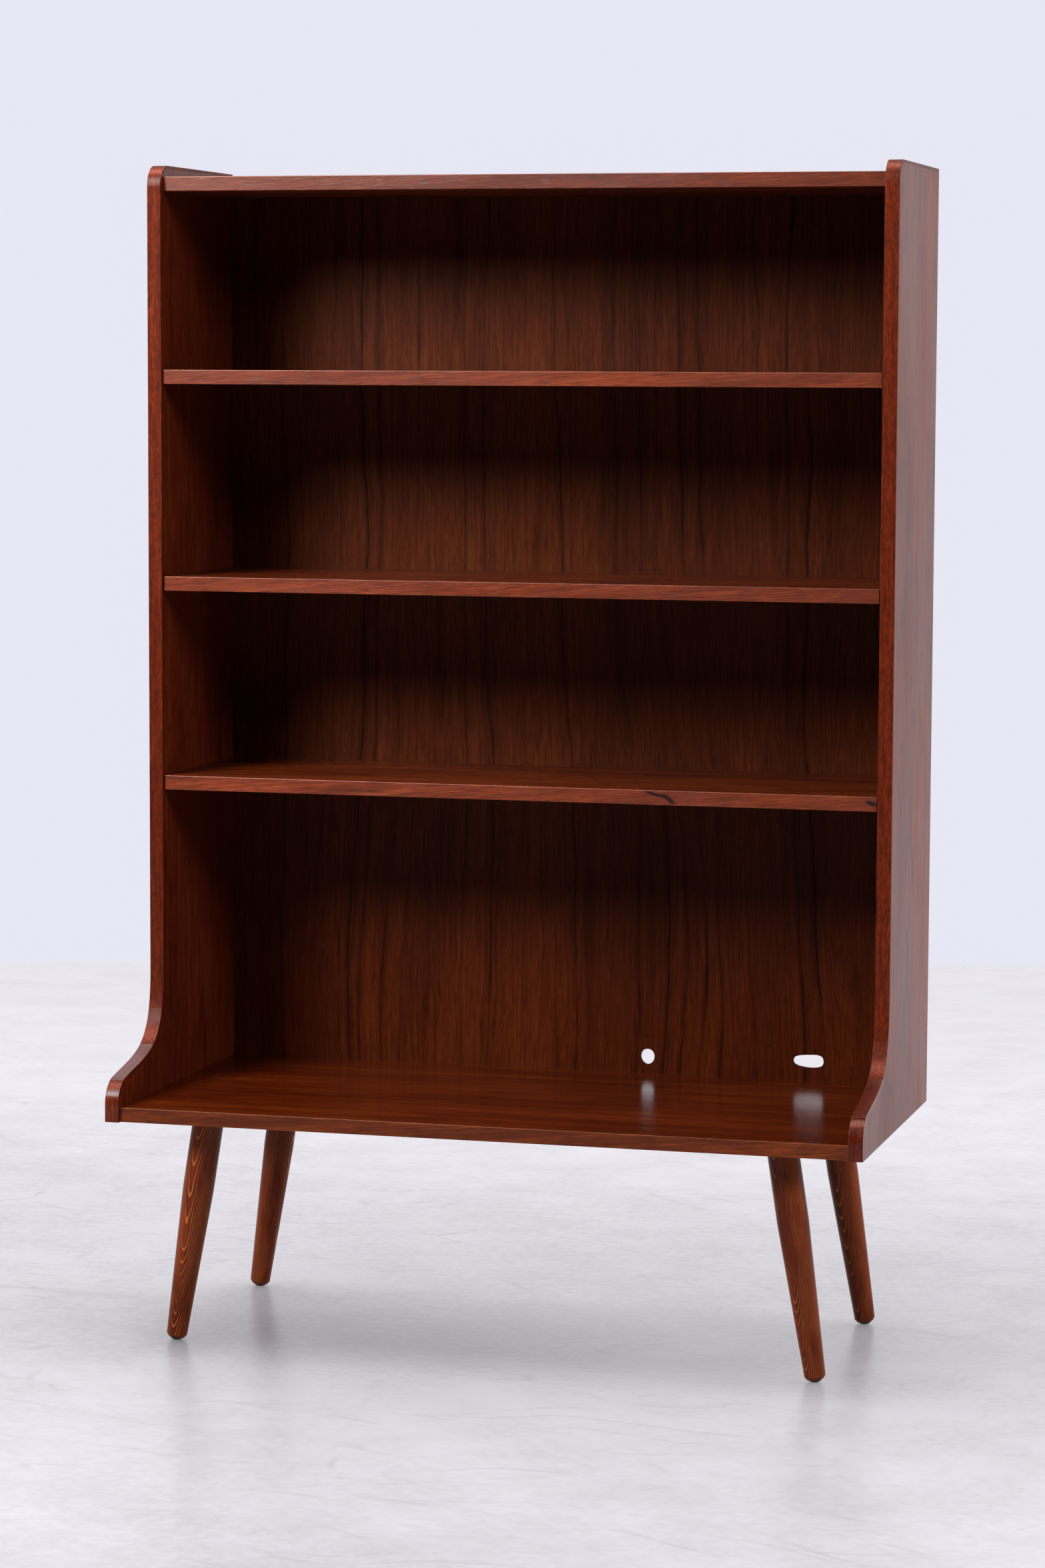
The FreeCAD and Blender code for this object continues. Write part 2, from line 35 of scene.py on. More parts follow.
class Graph:
    """A material with one Principled shader, and short calls that add nodes to it."""

    def __init__(self, name):
        self.material = bpy.data.materials.new(name)
        self.material.use_nodes = True
        self.tree = self.material.node_tree
        self.tree.nodes.clear()
        output = self.tree.nodes.new("ShaderNodeOutputMaterial")
        self.shader = self.tree.nodes.new("ShaderNodeBsdfPrincipled")
        self.tree.links.new(self.shader.outputs[0], output.inputs[0])
        self.object_point = self.node("ShaderNodeTexCoord").outputs["Object"]

    def node(self, kind, **settings):
        made = self.tree.nodes.new(kind)
        for key, value in settings.items():
            setattr(made, key, value)
        return made

    def put(self, socket, value):
        """Links value to socket if it is an output, and sets it there if it is a number."""
        if isinstance(value, bpy.types.NodeSocket):
            self.tree.links.new(value, socket)
        elif value is not None:
            socket.default_value = value

    def set(self, name, value):
        """Puts value on the shader's own socket."""
        if isinstance(value, tuple) and len(value) == 3:
            value = (*value, 1.0)
        self.put(self.shader.inputs[name], value)

    def math(self, operation, *values):
        made = self.node("ShaderNodeMath", operation=operation)
        for socket, value in zip(made.inputs, values):
            self.put(socket, value)
        return made.outputs[0]

    def product(self, a, b):
        return self.math("MULTIPLY", a, b)

    def weighted(self, *pairs):
        """The sum of every value times its weight."""
        total = 0.0
        for value, weight in pairs:
            total = self.math("MULTIPLY_ADD", value, weight, total)
        return total

    def vector_math(self, operation, a, b=None):
        made = self.node("ShaderNodeVectorMath", operation=operation)
        self.put(made.inputs[0], a)
        self.put(made.inputs[1], b)
        return made.outputs["Value" if operation == "LENGTH" else "Vector"]

    def split(self, vector):
        made = self.node("ShaderNodeSeparateXYZ")
        self.put(made.inputs[0], vector)
        return made.outputs[0], made.outputs[1], made.outputs[2]

    def mapped(self, vector, location=(0, 0, 0), rotation=(0, 0, 0), scale=(1, 1, 1)):
        """vector scaled, then turned, then moved."""
        made = self.node("ShaderNodeMapping")
        self.put(made.inputs["Vector"], vector)
        made.inputs["Location"].default_value = location
        made.inputs["Rotation"].default_value = rotation
        made.inputs["Scale"].default_value = scale
        return made.outputs[0]

    def noise(self, vector, frequency, detail, rough, output=0):
        """Noise with a frequency of its own along each axis of vector."""
        made = self.node("ShaderNodeTexNoise")
        self.put(made.inputs["Vector"], self.mapped(vector, scale=frequency))
        made.inputs["Scale"].default_value = 1.0
        made.inputs["Detail"].default_value = detail
        made.inputs["Roughness"].default_value = rough
        return made.outputs[output]

    def span(self, value, low, high, to_low=0.0, to_high=1.0, smooth=True):
        """value's range low..high taken to to_low..to_high, and held there outside it."""
        made = self.node("ShaderNodeMapRange")
        made.interpolation_type = "SMOOTHSTEP" if smooth else "LINEAR"
        for socket, number in zip(made.inputs, (value, low, high, to_low, to_high)):
            self.put(socket, number)
        return made.outputs[0]

    def mix(self, share, a, b, blend="MIX"):
        made = self.node("ShaderNodeMix", data_type="RGBA", blend_type=blend)
        self.put(made.inputs[0], share)
        self.put(made.inputs[6], (*a, 1.0) if isinstance(a, tuple) else a)
        self.put(made.inputs[7], (*b, 1.0) if isinstance(b, tuple) else b)
        return made.outputs[2]

    def bump(self, height, strength, distance):
        made = self.node("ShaderNodeBump")
        self.put(made.inputs["Height"], height)
        made.inputs["Strength"].default_value = strength
        made.inputs["Distance"].default_value = distance
        self.put(self.shader.inputs["Normal"], made.outputs[0])

    def along(self, axis, seed):
        """The object's coordinates, turned so that the grain runs along the third of them.

        The seed moves them to a place of their own in the noises, so no two boards are alike.
        """
        turn = Vector(axis).rotation_difference(Vector(AXIS_Z)).to_euler()
        shift = (3.17 * seed + 0.43, 5.71 * seed + 0.19, 1.93 * seed + 0.71)
        return self.mapped(self.object_point, location=shift, rotation=turn)

    def lines(self, place, number, width, least):
        """Unevenly spaced lines across place, number to the metre.

        The value is 1 on the darkest line, least on the faintest, and 0 between them.
        """
        made = self.node("ShaderNodeTexVoronoi", voronoi_dimensions="1D", feature="F1")
        self.put(made.inputs["W"], place)
        made.inputs["Scale"].default_value = number
        made.inputs["Randomness"].default_value = 1.0
        own, _, _ = self.split(made.outputs["Color"])
        line = self.span(made.outputs["Distance"], width * number, 0.3 * width * number)
        return self.product(line, self.span(own, 0.1, 0.9, least, 1.0, smooth=False))

    def arris(self):
        """1 on a chamfer or rounding of an axis-aligned board, and 0 on its faces."""
        normal = self.node("ShaderNodeTexCoord").outputs["Normal"]
        x, y, z = self.split(self.vector_math("ABSOLUTE", normal))
        largest = self.math("MAXIMUM", self.math("MAXIMUM", x, y), z)
        return self.span(self.math("SUBTRACT", 1.0, largest), 0.12, 0.27)


# ---------------------------------------------------------------- teak

TEAK = {
    "dark": (0.076, 0.0092, 0.0021),
    "middle": (0.146, 0.0202, 0.0047),
    "light": (0.250, 0.0430, 0.0112),
    "line": (0.026, 0.0038, 0.0015),
}
BOARD = {
    "dark": (0.056, 0.0068, 0.0012),
    "middle": (0.102, 0.0138, 0.0021),
    "light": (0.176, 0.0295, 0.0046),
    "line": (0.022, 0.0036, 0.0010),
}
BACK = {
    "dark": (0.044, 0.0080, 0.0018),
    "middle": (0.078, 0.0150, 0.0034),
    "light": (0.122, 0.0270, 0.0068),
    "line": (0.009, 0.0020, 0.0008),
}
SIDE_EDGE = {
    "dark": (0.066, 0.0078, 0.0019),
    "middle": (0.110, 0.0142, 0.0035),
    "light": (0.176, 0.0260, 0.0068),
    "line": (0.036, 0.0044, 0.0014),
}
SHELF_EDGE = {
    "dark": (0.104, 0.0150, 0.0038),
    "middle": (0.162, 0.0262, 0.0068),
    "light": (0.245, 0.0455, 0.0130),
    "line": (0.048, 0.0066, 0.0021),
}
STAIN = (0.014, 0.0035, 0.0020)
COOL = (0.60, 0.58, 0.98)            # multiplies the colour of the purplish patches
REDDER = (0.96, 0.62, 0.22)          # multiplies the colour low down on the back
REDDER_HEIGHTS = (0.72, 0.42)        # none above the first height, all of it below the second

# Dark marks on a piece: middle to the right of the piece's middle and above its lower edge, half
# length, half height, slope in degrees, and how dark. Knots and chips, and the back's nail holes.
STAINS = {
    "shelf_lower_lipping": (
        (0.172, 0.0123, 0.018, 0.0024, 14.0, 1.0),
        (0.187, 0.0075, 0.012, 0.0030, 38.0, 1.0),
        (0.426, 0.0090, 0.011, 0.0034, 24.0, 1.0),
        (-0.200, 0.0060, 0.080, 0.0022, 1.0, 0.45),
    ),
    "back_panel": (
        (0.102, 0.0650, 0.0020, 0.0020, 0.0, 0.95),
        (0.0985, 0.0205, 0.0018, 0.0018, 0.0, 0.95),
        (0.256, 0.0596, 0.0020, 0.0020, 0.0, 0.95),
        (0.2415, 0.0244, 0.0018, 0.0018, 0.0, 0.95),
        (0.313, 0.0549, 0.0018, 0.0018, 0.0, 0.95),
    ),
}

# Teak's noises: frequency across the grain, twice, and along it, then detail and roughness.
TEAK_NOISES = {
    "broad": ((5.0, 5.0, 0.55), 3.0, 0.55),
    "streak": ((60.0, 60.0, 2.4), 3.0, 0.6),
    "thread": ((240.0, 240.0, 17.0), 3.0, 0.65),
    "fine": ((560.0, 560.0, 48.0), 4.0, 0.65),
    "pore": ((1100.0, 1100.0, 55.0), 2.0, 0.5),
    "dash": ((520.0, 520.0, 40.0), 2.0, 0.6),
    "smudge": ((42.0, 42.0, 3.2), 3.0, 0.6),
    "cool": ((14.0, 14.0, 3.4), 3.0, 0.6),
    "bend": ((3.0, 3.0, 1.1), 2.0, 0.5),
    "quiver": ((26.0, 26.0, 5.0), 3.0, 0.6),
    "fade": ((19.0, 19.0, 1.6), 2.0, 0.6),
    "smear": ((9.0, 9.0, 3.0), 3.0, 0.6),
}
MOTTLE_DETAIL, MOTTLE_ROUGHNESS = 4.0, 0.6
LINE_BEND, LINE_QUIVER = 0.11, 0.020             # how far the growth lines wander
LINE_FADE = (0.36, 0.58, 0.15, 1.0)              # where a growth line is faint along its length
BAND_WIDTH = 0.009                               # shade beside a dark growth line
SMALL_LINES = 5.3                                # faint growth lines to each dark one
TONE_REACH = 0.12                                # from the middle tone to the dark or light one
MARK_RANGE = (0.60, 0.74)                        # the noise's range that makes pores and smudges
DASH_RANGE = (0.55, 0.65)                        # the same for short dark dashes
PURPLE_RANGE = (0.46, 0.60)                      # the same for purplish patches
BUMP_DEPTH = 0.0004


def stained(g, name, colour, rough_edge):
    """colour with the piece's dark marks, whose edges rough_edge frays."""
    low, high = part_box(name)
    for right, above, half_length, half_height, slope, share in STAINS.get(name, ()):
        middle = (0.5 * (low.x + high.x) + right, low.z + above)
        spot = g.mapped(g.object_point, location=(-middle[0], 0.0, -middle[1]))
        spot = g.mapped(spot, rotation=(0.0, -math.radians(slope), 0.0))
        spot = g.mapped(spot, scale=(1.0 / half_length, 0.0, 1.0 / half_height))
        reach = g.math("MULTIPLY_ADD", rough_edge, 1.2, g.vector_math("LENGTH", spot))
        colour = g.mix(g.span(reach, 1.7, 1.0, 0.0, share), colour, STAIN)
    return colour


def teak(name, seed, axis, tones, tint=WHITE, lines=50.0, wander=1.0, line_share=0.7,
         line_width=0.0012, fibre=0.5, pores=0.5, rough=(0.28, 0.38), bump=0.25, specular=0.4,
         arris_wear_and_highlight=0.35, mottled=0.09, patch=(60.0, 5.0), dashes=0.5, purple=0.25, redder=0.0):
    """Teak with its grain along axis: broad tone, dark growth lines, fine fibre and short pores.

    lines is the number of dark growth lines to the metre, wander how far they bend, and
    line_share how dark they are. patch is the mottling's frequency across the grain and
    along it. fibre, pores, the arrises' lightening (wear and a painted highlight), mottled,
    dashes, purple and redder are shares.
    """
    g = Graph(name)
    p = g.along(axis, seed)
    across, _, _ = g.split(p)
    noise = {key: g.noise(p, *settings) for key, settings in TEAK_NOISES.items()}

    # growth lines: unevenly spaced, bent by slow noise, each as dark as its own random number
    bent = g.weighted((noise["bend"], LINE_BEND * wander), (noise["quiver"], LINE_QUIVER * wander))
    place = g.math("ADD", across, bent)
    fade = g.span(noise["fade"], *LINE_FADE)
    dark_line = g.product(g.lines(place, lines, line_width, 0.10), fade)
    band = g.product(g.lines(place, lines, BAND_WIDTH, 0.0), fade)
    small = g.lines(place, lines * SMALL_LINES, 0.5 * line_width, 0.0)
    smudge = g.span(noise["smudge"], *MARK_RANGE)

    # tone, from dark through middle to light
    mottle = g.noise(p, (patch[0], patch[0], patch[1]), MOTTLE_DETAIL, MOTTLE_ROUGHNESS)
    tone = g.weighted(
        (noise["broad"], 0.32),
        (noise["streak"], 0.17),
        (noise["thread"], 0.27),
        (noise["fine"], 0.48 * fibre),
        (g.span(mottle, 0.25, 0.75, -1.0, 1.0, smooth=False), mottled),
        (band, -0.06),
        (small, -0.10),
        (smudge, -0.10),
    )
    centre = 0.37 + 0.24 * fibre
    rise = g.span(tone, centre - TONE_REACH, centre, smooth=False)
    colour = g.mix(rise, tones["dark"], tones["middle"])
    rise = g.span(tone, centre, centre + TONE_REACH, smooth=False)
    colour = g.mix(rise, colour, tones["light"])

    # pores, growth lines and dashes, then patches, marks, and arrises lightened by wear and a
    # painted highlight
    pore = g.span(noise["pore"], *MARK_RANGE)
    dash = g.span(noise["dash"], *DASH_RANGE)
    for mark, share in ((pore, pores), (dark_line, line_share), (dash, dashes)):
        colour = g.mix(g.product(mark, share), colour, tones["line"])
    colour = g.mix(g.span(noise["cool"], *PURPLE_RANGE, 0.0, purple), colour, COOL, "MULTIPLY")
    if redder:
        _, _, height = g.split(g.object_point)
        colour = g.mix(g.span(height, *REDDER_HEIGHTS, 0.0, redder), colour, REDDER, "MULTIPLY")
    colour = stained(g, name, colour, noise["thread"])
    # the arrises' lightening: partly real wear, partly a painted highlight along the edges
    arris_wear_and_highlight_share = g.product(g.arris(), g.span(noise["fine"], 0.35, 0.7, 0.3 * arris_wear_and_highlight, arris_wear_and_highlight))
    colour = g.mix(arris_wear_and_highlight_share, colour, tuple(2.0 * c + 0.05 for c in tones["light"]))
    if tint != WHITE:
        colour = g.mix(1.0, colour, tint, "MULTIPLY")
    g.set("Base Color", colour)

    gloss = g.weighted((noise["fine"], 0.35), (noise["smear"], 0.65))
    g.set("Roughness", g.span(gloss, 0.3, 0.7, *rough))
    g.set("Specular IOR Level", specular)
    g.bump(g.weighted((noise["fine"], 0.7), (pore, -0.6)), bump, BUMP_DEPTH)
    return g


SIDE_PANEL = dict(
    axis=AXIS_Z, tones=TEAK, lines=26.0, wander=0.6, line_share=0.80, rough=(0.32, 0.42),
    bump=0.3, specular=0.29, mottled=0.05, patch=(90.0, 9.0), purple=0.14)
SHELF = dict(
    axis=AXIS_X, tones=BOARD, lines=24.0, wander=0.4, line_width=0.0022, rough=(0.24, 0.34),
    bump=0.2, specular=0.34, mottled=0.15)
SIDE_STRIP = dict(
    axis=AXIS_Z, tones=SIDE_EDGE, lines=45.0, wander=0.3, line_share=0.3, fibre=0.7, pores=0.7,
    rough=(0.30, 0.38), specular=0.10, mottled=0.10, patch=(300.0, 150.0), arris_wear_and_highlight=0.6, purple=0.15)
BEND_STRIP = dict(
    axis=(0.0, 0.75, 0.66), tones=SIDE_EDGE, lines=60.0, wander=0.3, line_share=0.15, fibre=0.7,
    pores=0.7, bump=0.35, specular=1.0, patch=(300.0, 150.0), dashes=0.6)
FRONT_STRIP = dict(
    axis=(1.0, 0.0, 0.09), tones=SHELF_EDGE, wander=0.25, line_share=0.3, fibre=0.7, pores=0.7,
    arris_wear_and_highlight=0.8, mottled=0.05, patch=(130.0, 26.0), purple=0.4)
BACK_PANEL = dict(
    axis=AXIS_Z, tones=BACK, lines=40.0, line_share=0.9, line_width=0.0020, rough=(0.38, 0.50),
    bump=0.3, specular=0.07, mottled=0.0, dashes=0.35, redder=0.5)
BOTTOM_PANEL = dict(
    axis=AXIS_X, tones=BOARD, tint=(1.15, 1.13, 1.0), lines=42.0, wander=0.3, line_share=0.75,
    line_width=0.0032, rough=(0.13, 0.20), bump=0.12, specular=0.20, patch=(45.0, 2.6),
    dashes=0.6)
BOTTOM_STRIP = {
    **FRONT_STRIP, "tones": SIDE_EDGE, "tint": (1.36, 1.80, 0.70), "specular": 0.25,
    "purple": 0.2}
TEAK_PIECES = {
    "back_panel": BACK_PANEL,
    "bottom_panel": BOTTOM_PANEL,
    "bottom_panel_lipping": BOTTOM_STRIP,
    "top_panel": {**SHELF, "rough": (0.44, 0.56), "bump": 0.25, "specular": 0.22, "mottled": 0.12},
    "top_panel_lipping": {**FRONT_STRIP, "specular": 0.5},
    "shelf_upper": SHELF,
    "shelf_middle": SHELF,
    "shelf_lower": SHELF,
    "shelf_upper_lipping": FRONT_STRIP,
    "shelf_middle_lipping": {**FRONT_STRIP, "arris_wear_and_highlight": 0.25},
    "shelf_lower_lipping": FRONT_STRIP,
}
for side, side_tint in (("left", WHITE), ("right", (1.06, 1.03, 1.0))):
    strip = {**SIDE_STRIP, "tint": side_tint}
    TEAK_PIECES["side_panel_" + side] = SIDE_PANEL
    TEAK_PIECES["side_lipping_upper_" + side] = strip
    TEAK_PIECES["side_lipping_bend_" + side] = BEND_STRIP
    TEAK_PIECES["side_lipping_nose_" + side] = {**strip, "rough": (0.18, 0.26), "specular": 0.22}


# ---------------------------------------------------------------- legs, metal and plastic

# How far each leg is turned round its own axis, in degrees, to put the grain's U shapes elsewhere.
LEG_SPIN = {
    "leg_front_left": 0.0,
    "leg_front_right": 26.0,
    "leg_rear_left": 85.0,
    "leg_rear_right": 16.0,
}
PITH_OFFSET = 0.066                  # pith in front of the foot's middle
PITH_LEAN = -0.045                   # pith's slope against the leg's axis
GROWTH_LAYERS = 680.0                # to the metre
LEG_END = 0.004                      # height of the slices that give the leg's axis
BROWN_BEECH = {
    "dark": (0.066, 0.0104, 0.0026),
    "light": (0.200, 0.0335, 0.0076),
    "fleck": (0.024, 0.007, 0.004),
    "shell": (0.50, 0.155, 0.042),
}
BARE_BEECH = {
    "dark": (0.46, 0.27, 0.14),
    "light": (0.62, 0.42, 0.25),
    "fleck": (0.30, 0.15, 0.07),
}
# Steel pieces, by how their names start: colour and range of roughness.
STEELS = {
    "shelf_wire": ((0.60, 0.59, 0.57), (0.20, 0.34)),
    "leg_plate_screws": ((0.52, 0.50, 0.47), (0.28, 0.45)),
    "leg_bolt": ((0.52, 0.50, 0.47), (0.28, 0.45)),
    "back_panel_nails": ((0.52, 0.50, 0.47), (0.28, 0.45)),
    "leg_plate": ((0.40, 0.40, 0.39), (0.38, 0.55)),
}
TARNISHED = 0.55                     # multiplies steel's colour in its dull patches
BLACK = (0.010, 0.009, 0.009)
SCUFFED = (0.07, 0.065, 0.06)
SCUFF_HEIGHT = 0.003


def leg_axis(name):
    """The leg's axis and foot, from the middles of its mesh's lowest and highest slices."""
    low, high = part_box(name)
    points = [v.co for v in NODES[name].data.vertices]
    ends = []
    for level in (low.z, high.z):
        near = [p for p in points if abs(p.z - level) < LEG_END]
        middle = [0.5 * (min(p[i] for p in near) + max(p[i] for p in near)) for i in range(3)]
        ends.append(Vector(middle))
    return (ends[1] - ends[0]).normalized(), ends[0]


def stained_beech(name, seed):
    """Brown-stained beech, turned: its growth layers show as pale U shapes and long stripes."""
    g = Graph(name)
    axis, foot = leg_axis(name)
    spin = Matrix.Rotation(math.radians(LEG_SPIN[name]), 3, "Z")
    turn = spin @ Vector(axis).rotation_difference(Vector(AXIS_Z)).to_matrix()
    p = g.mapped(g.object_point, location=tuple(-v for v in turn @ foot), rotation=turn.to_euler())
    seeded = g.mapped(p, location=(seed * 1.7, seed * 2.3, seed * 0.9))
    x, y, z = g.split(p)

    # growth layers are shells round a pith outside the leg, leaning a little against its axis
    sway = g.noise(seeded, (14.0, 14.0, 9.0), 2.0, 0.5)
    dx = g.math("ADD", x, g.math("MULTIPLY_ADD", sway, 0.010, 0.004))
    dy = g.math("ADD", g.math("ADD", y, PITH_OFFSET), g.product(z, PITH_LEAN))
    radius = g.math("SQRT", g.math("ADD", g.math("POWER", dx, 2.0), g.math("POWER", dy, 2.0)))
    radius = g.math("MULTIPLY_ADD", sway, 0.004, radius)
    phase = g.math("FRACT", g.product(radius, GROWTH_LAYERS))
    shell = g.product(g.span(phase, 0.74, 0.92), g.span(phase, 1.0, 0.95))
    patchy = g.span(g.noise(seeded, (40.0, 40.0, 11.0), 3.0, 0.6), 0.38, 0.54)

    fine = g.noise(seeded, (900.0, 900.0, 28.0), 3.0, 0.6)
    fleck = g.span(g.noise(seeded, (1400.0, 1400.0, 160.0), 1.0, 0.5), 0.62, 0.75)
    broad = g.noise(seeded, (35.0, 35.0, 5.0), 3.0, 0.6)
    tone = g.weighted((fine, 0.6), (broad, 0.7))
    colour = g.mix(g.span(tone, 0.45, 0.85), BROWN_BEECH["dark"], BROWN_BEECH["light"])
    colour = g.mix(g.product(fleck, 0.55), colour, BROWN_BEECH["fleck"])
    colour = g.mix(g.product(g.product(shell, patchy), 0.80), colour, BROWN_BEECH["shell"])
    g.set("Base Color", colour)
    g.set("Specular IOR Level", 0.11)
    g.set("Roughness", g.span(broad, 0.3, 0.7, 0.30, 0.42))
    g.bump(g.weighted((fine, 1.0), (fleck, -0.5)), 0.25, 0.0003)
    return g


def bare_beech(name, seed):
    """Bare beech dowel ends, with short flecks."""
    g = Graph(name)
    p = g.mapped(g.object_point, location=(seed, seed, seed))
    fine = g.noise(p, (700.0, 700.0, 700.0), 3.0, 0.6)
    fleck = g.span(g.noise(p, (1500.0, 260.0, 1500.0), 1.0, 0.5), 0.6, 0.75)
    colour = g.mix(fine, BARE_BEECH["dark"], BARE_BEECH["light"])
    g.set("Base Color", g.mix(g.product(fleck, 0.5), colour, BARE_BEECH["fleck"]))
    g.set("Roughness", g.span(fine, 0.3, 0.7, 0.5, 0.65))
    g.bump(fine, 0.2, 0.0002)
    return g


def steel(name, seed, colour, rough):
    """Drawn or plated steel: fine scratches, dull patches and a little tarnish."""
    g = Graph(name)
    p = g.mapped(g.object_point, location=(seed, 2.0 * seed, 0.0))
    patch = g.noise(p, (45.0, 45.0, 45.0), 4.0, 0.6)
    scratch = g.noise(p, (2600.0, 300.0, 2600.0), 2.0, 0.6)
    tarnish = g.span(patch, 0.45, 0.72)
    g.set("Base Color", g.mix(tarnish, colour, tuple(TARNISHED * c for c in colour)))
    g.set("Metallic", 1.0)
    g.set("Roughness", g.span(g.math("ADD", patch, scratch), 0.7, 1.3, *rough))
    g.bump(scratch, 0.15, 0.0001)
    return g


def black_plastic(name, seed):
    """Black moulded plastic with a fine texture, scuffed next to the floor."""
    g = Graph(name)
    p = g.mapped(g.object_point, location=(seed, seed, seed))
    _, _, z = g.split(g.object_point)
    grit = g.noise(p, (1600.0, 1600.0, 1600.0), 2.0, 0.6)
    scuff = g.product(g.span(z, SCUFF_HEIGHT, 0.0), g.span(grit, 0.45, 0.6))
    g.set("Base Color", g.mix(scuff, BLACK, SCUFFED))
    g.set("Roughness", g.span(grit, 0.3, 0.7, 0.42, 0.62))
    g.bump(grit, 0.2, 0.0001)
    return g


def material_for(name, seed):
    if name in TEAK_PIECES:
        return teak(name, seed, **TEAK_PIECES[name])
    if name in LEG_SPIN:
        return stained_beech(name, seed)
    for start, (colour, rough) in STEELS.items():
        if name.startswith(start):
            return steel(name, seed, colour, rough)
    if name.startswith("glide"):
        return black_plastic(name, seed)
    return bare_beech(name, seed)


for index, name in enumerate(sorted(NODES)):
    graph = material_for(name, index + 1)
    mesh = NODES[name].data
    mesh.materials.clear()
    mesh.materials.append(graph.material)
    for polygon in mesh.polygons:
        polygon.material_index = 0


# ---------------------------------------------------------------- studio

CAMERA_PLACE = Vector((1.3045, -4.8276, 1.1521))
CAMERA_YAW = math.radians(15.1379)
CAMERA_PITCH = math.radians(-5.6164)
CAMERA_ROLL = math.radians(-0.240)
CAMERA_LENS = 97.69                  # millimetres, on a 36 mm sensor
FLOOR_NEAR, FLOOR_FAR, FLOOR_ASIDE = 2.3, 8.15, 9.0      # ahead of the camera, and to each side

# The room is pale behind and beside the bookcase, and dim behind the camera: its strength goes
# from the first to the second of ROOM_STRENGTH while a direction's y goes through ROOM_DEPTH.
ROOM_STRENGTH = (0.050, 0.78)
ROOM_DEPTH = (-0.05, 0.40)
ROOM_COLOUR = (0.98, 0.96, 1.0, 1.0)
BACKDROP_COLOUR = (0.805, 0.800, 0.905, 1.0)

# Round soft lights. Three are flagged off the floor, and the key also off the top panel, which
# would mirror it to the rear.
LIGHTS = {
    "key": dict(
        place=(-1.95, -2.6, 3.12), target=(-1.2, 0.0, 2.0), diameter=2.1, watts=80.0,
        colour=(1.0, 0.97, 0.94), spread=80.0, flagged=("floor", "top_panel")),
    "overhead": dict(
        place=(-0.45, -0.2, 3.7), target=(-0.35, -0.2, 0.0), diameter=2.7, watts=62.0,
        colour=(1.0, 0.98, 0.98)),
    "right": dict(
        place=(6.5, -2.7, 3.4), target=(0.0, 0.0, 0.9), diameter=1.9, watts=146.0,
        colour=(1.0, 0.97, 0.95), flagged=("floor",)),
    "side": dict(
        place=(3.6, 1.0, 1.7), target=(0.45, 0.0, 0.8), diameter=1.6, watts=54.0,
        colour=(1.0, 0.91, 0.88), flagged=("floor",)),
}

FLOOR_DARK, FLOOR_PALE = (0.52, 0.515, 0.55), (0.78, 0.77, 0.83)
FLOOR_SCRATCH = (0.38, 0.37, 0.40)
FLOOR_FLECK = (0.34, 0.33, 0.35)
FLOOR_GLOW = (0.96, 0.95, 1.0)
# The floor's glow is painted light. It goes from the first number to the second as y leaves
# GLOW_MIDDLE by GLOW_REACH, and a painted shadow makes it less by its loss in the middle of the
# ellipse under the bookcase.
GLOW_STRENGTH = (0.225, 0.375)
GLOW_MIDDLE, GLOW_REACH = 0.35, (0.1, 1.3)
PAINTED_SHADOW_SHIFT, PAINTED_SHADOW_SCALE, PAINTED_SHADOW_LOSS = (0.42, 0.30, 0.0), (1.45, 3.2, 0.0), 0.095
# Two sets of scratches: shift along x, turn in radians, and how dark.
SCRATCHES = ((0.0, 0.35, 0.55), (7.3, 1.25, 0.45))


def make_room():
    """The world: the backdrop that the camera sees, and the soft light from all round."""
    world = bpy.data.worlds.new("studio")
    bpy.context.scene.world = world
    world.use_nodes = True
    nodes, links = world.node_tree.nodes, world.node_tree.links
    nodes.clear()
    parts = nodes.new("ShaderNodeSeparateXYZ")
    links.new(nodes.new("ShaderNodeTexCoord").outputs["Generated"], parts.inputs[0])
    depth = nodes.new("ShaderNodeMapRange")
    depth.interpolation_type = "SMOOTHSTEP"
    depth.inputs["From Min"].default_value = ROOM_DEPTH[0]
    depth.inputs["From Max"].default_value = ROOM_DEPTH[1]
    depth.inputs["To Min"].default_value = ROOM_STRENGTH[0]
    depth.inputs["To Max"].default_value = ROOM_STRENGTH[1]
    links.new(parts.outputs["Y"], depth.inputs["Value"])
    room = nodes.new("ShaderNodeBackground")
    room.inputs["Color"].default_value = ROOM_COLOUR
    links.new(depth.outputs[0], room.inputs["Strength"])
    backdrop = nodes.new("ShaderNodeBackground")
    backdrop.inputs["Color"].default_value = BACKDROP_COLOUR
    choose = nodes.new("ShaderNodeMixShader")
    links.new(nodes.new("ShaderNodeLightPath").outputs["Is Camera Ray"], choose.inputs[0])
    links.new(room.outputs[0], choose.inputs[1])
    links.new(backdrop.outputs[0], choose.inputs[2])
    links.new(choose.outputs[0], nodes.new("ShaderNodeOutputWorld").inputs[0])


def make_light(name, place, target, diameter, watts, colour, spread=180.0, flagged=()):
    """A round soft light, with its spread in degrees.

    Where something is flagged, it lights only the CAD nodes, apart from those in flagged.
    """
    data = bpy.data.lights.new(name, "AREA")
    data.shape = "DISK"
    data.size = diameter
    data.energy = watts
    data.color = colour
    data.spread = math.radians(spread)
    light = bpy.data.objects.new(name, data)
    bpy.context.scene.collection.objects.link(light)
    light.location = place
    light.rotation_euler = (Vector(target) - Vector(place)).to_track_quat("-Z", "Y").to_euler()
    if flagged:
        lit = bpy.data.collections.new(name + "_receivers")
        for node_name, node in NODES.items():
            if node_name not in flagged:
                lit.objects.link(node)
        light.light_linking.receiver_collection = lit


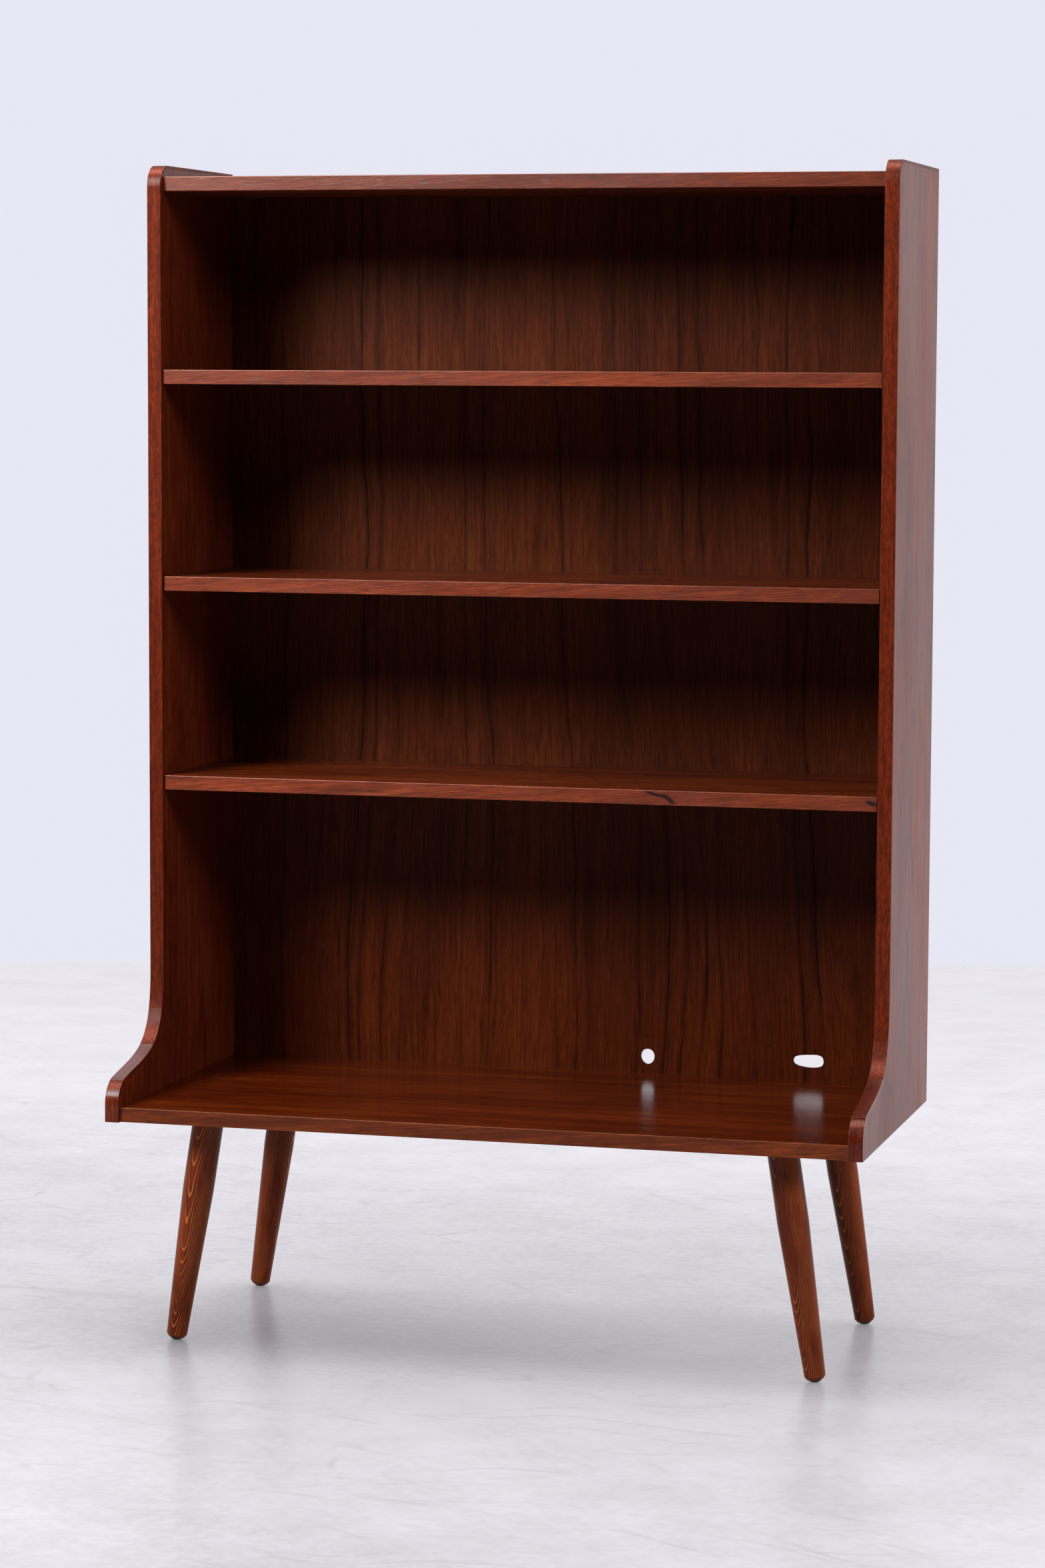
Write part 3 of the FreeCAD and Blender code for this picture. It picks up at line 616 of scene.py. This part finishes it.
def floor_material():
    """A plain pale floor, softly clouded and scratched. Its glow is painted light, and it glows
    less under the bookcase: a painted shadow.
    """
    g = Graph("pale_floor")
    point = g.object_point
    cloud = g.noise(point, (1.3, 1.3, 1.3), 4.0, 0.55)
    blotch = g.noise(point, (7.0, 7.0, 7.0), 5.0, 0.65)
    grain = g.noise(point, (70.0, 70.0, 70.0), 4.0, 0.65)
    pale = g.weighted((cloud, 0.25), (grain, 0.35), (blotch, 0.40))
    colour = g.mix(g.span(pale, 0.36, 0.64), FLOOR_DARK, FLOOR_PALE)
    # hairline scratches: the edges of stretched cells, bent, and kept only in patches
    drift = g.noise(point, (2.6, 2.6, 2.6), 2.0, 0.5, output="Color")
    bent = g.vector_math("ADD", point, g.mapped(drift, scale=(0.22, 0.22, 0.22)))
    for shift, turn, share in SCRATCHES:
        laid = g.mapped(
            bent, location=(shift, 2.9, 0.0), rotation=(0.0, 0.0, turn), scale=(2.2, 9.0, 1.0))
        cells = g.node("ShaderNodeTexVoronoi", feature="DISTANCE_TO_EDGE")
        g.put(cells.inputs["Vector"], laid)
        cells.inputs["Scale"].default_value = 1.4
        hair = g.span(cells.outputs["Distance"], 0.024, 0.003)
        kept = g.span(g.noise(laid, (1.6, 1.6, 1.6), 3.0, 0.6), 0.50, 0.62)
        colour = g.mix(g.product(g.product(hair, kept), share), colour, FLOOR_SCRATCH)
    # small dark flecks, in patches
    fleck = g.span(g.noise(point, (55.0, 95.0, 55.0), 3.0, 0.7), 0.66, 0.76)
    fleck = g.product(fleck, g.span(blotch, 0.50, 0.62, 0.0, 0.7))
    g.set("Base Color", g.mix(fleck, colour, FLOOR_FLECK))
    g.set("Roughness", g.span(cloud, 0.35, 0.65, 0.26, 0.34))
    # the floor's glow is painted light, weakest at GLOW_MIDDLE
    g.set("Emission Color", FLOOR_GLOW)
    _, y, _ = g.split(point)
    away = g.math("ABSOLUTE", g.math("SUBTRACT", y, GLOW_MIDDLE))
    glow = g.span(away, *GLOW_REACH, *GLOW_STRENGTH)
    # painted shadow: less glow in an ellipse under the bookcase
    under = g.vector_math("LENGTH", g.mapped(point, location=PAINTED_SHADOW_SHIFT, scale=PAINTED_SHADOW_SCALE))
    g.set("Emission Strength", g.math("SUBTRACT", glow, g.span(under, 0.0, 1.0, PAINTED_SHADOW_LOSS, 0.0)))
    return g.material


def make_floor():
    """A rectangle across the camera's view, as far as the line where floor and backdrop meet."""
    ahead = Vector((-math.sin(CAMERA_YAW), math.cos(CAMERA_YAW), 0.0))
    aside = Vector((ahead.y, -ahead.x, 0.0))
    eye = Vector((CAMERA_PLACE.x, CAMERA_PLACE.y, 0.0))
    corners = []
    for distance, across in ((FLOOR_NEAR, -FLOOR_ASIDE), (FLOOR_NEAR, FLOOR_ASIDE),
                             (FLOOR_FAR, FLOOR_ASIDE), (FLOOR_FAR, -FLOOR_ASIDE)):
        corners.append(tuple(eye + ahead * distance + aside * across))
    data = bpy.data.meshes.new("studio_floor")
    data.from_pydata(corners, [], [(0, 1, 2, 3)])
    floor = bpy.data.objects.new("studio_floor", data)
    bpy.context.scene.collection.objects.link(floor)
    floor.data.materials.append(floor_material())


def make_camera():
    """The camera at the photo's place and viewing angle."""
    data = bpy.data.cameras.new("camera")
    data.sensor_width = 36.0
    data.sensor_fit = "AUTO"
    data.lens = CAMERA_LENS
    data.clip_end = 60.0
    camera = bpy.data.objects.new("camera", data)
    bpy.context.scene.collection.objects.link(camera)
    turn = (Matrix.Rotation(CAMERA_YAW, 3, "Z") @ Matrix.Rotation(CAMERA_PITCH, 3, "X")
            @ Matrix.Rotation(CAMERA_ROLL, 3, "Y"))
    looking = Matrix((turn.col[0], turn.col[2], -turn.col[1])).transposed()
    camera.matrix_world = Matrix.Translation(CAMERA_PLACE) @ looking.to_4x4()
    bpy.context.scene.camera = camera


bpy.context.scene.view_settings.view_transform = "Standard"
bpy.context.scene.view_settings.look = "None"
make_room()
for light_name, settings in LIGHTS.items():
    make_light(light_name, **settings)
make_floor()
make_camera()
